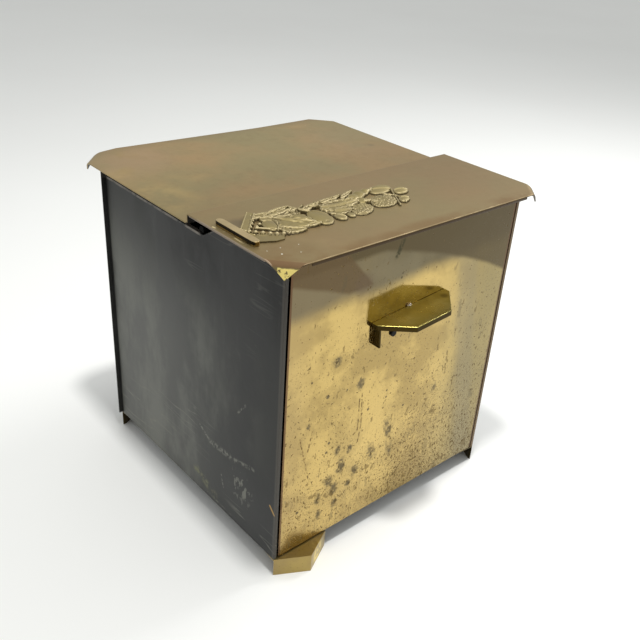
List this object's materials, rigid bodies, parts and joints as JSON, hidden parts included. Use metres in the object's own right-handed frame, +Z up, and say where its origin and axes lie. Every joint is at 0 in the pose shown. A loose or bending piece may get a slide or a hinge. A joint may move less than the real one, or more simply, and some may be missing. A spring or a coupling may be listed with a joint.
{
  "type": "coal scuttle",
  "caption": "Tilt-front coal scuttle: sheet-iron box on brass feet, brass rear deck, and a coal bin whose brass front and top swing forward on a bottom hinge.",
  "frame": {"origin": "on the floor, under the middle of the bounding box", "axes": "+X to the right along the brass front, +Y from the front to the back, +Z up"},
  "size_m": [0.389, 0.417, 0.4069],
  "materials": {
    "black_iron": "worn satin black",
    "patinated_brass": "dull olive-brown patina",
    "polished_brass": "old polish, pitted",
    "cast_brass": "dark golden, worn bright on the edges",
    "steel": "dull"
  },
  "bodies": {
    "carcass": {"base_pan": "black_iron", "side_panel_left": "black_iron", "side_panel_right": "black_iron", "back_panel": "black_iron", "rear_deck": "patinated_brass", "deck_rail_left": "black_iron", "deck_rail_right": "black_iron", "tie_rod": "steel", "hinge_rod": "steel", "hinge_plate_left": "black_iron", "hinge_plate_right": "black_iron", "stop_block_left": "black_iron", "stop_block_right": "black_iron", "foot_front_left": "polished_brass", "foot_front_right": "polished_brass", "foot_back_right": "polished_brass", "foot_back_left": "polished_brass", "foot_screw_front_left": "steel", "foot_screw_front_right": "steel", "foot_screw_back_right": "steel", "foot_screw_back_left": "steel"},
    "bin": {"front_panel": "polished_brass", "front_top": "patinated_brass", "top_angle": "black_iron", "bin_trough": "black_iron", "cheek_left": "black_iron", "cheek_right": "black_iron", "hinge_knuckle_left": "steel", "hinge_knuckle_right": "steel", "stop_pin_left": "steel", "stop_pin_right": "steel", "handle_plate": "cast_brass", "handle_leg_left": "cast_brass", "handle_leg_right": "cast_brass", "handle_backing_plate": "black_iron", "handle_screw_left": "steel", "handle_screw_right": "steel", "garland_bar": "cast_brass", "garland_casting": "cast_brass", "garland_stud_1": "steel", "garland_stud_2": "steel", "garland_stud_3": "steel", "garland_nut_1": "steel", "garland_nut_2": "steel", "garland_nut_3": "steel"}
  },
  "joints": [
    {"name": "bin_tilt", "type": "hinge", "parent": "carcass", "child": "bin", "pos_m": [0, -0.1643, 0.041], "axis": [1, 0, 0], "range_deg": [0, 32]}
  ]
}
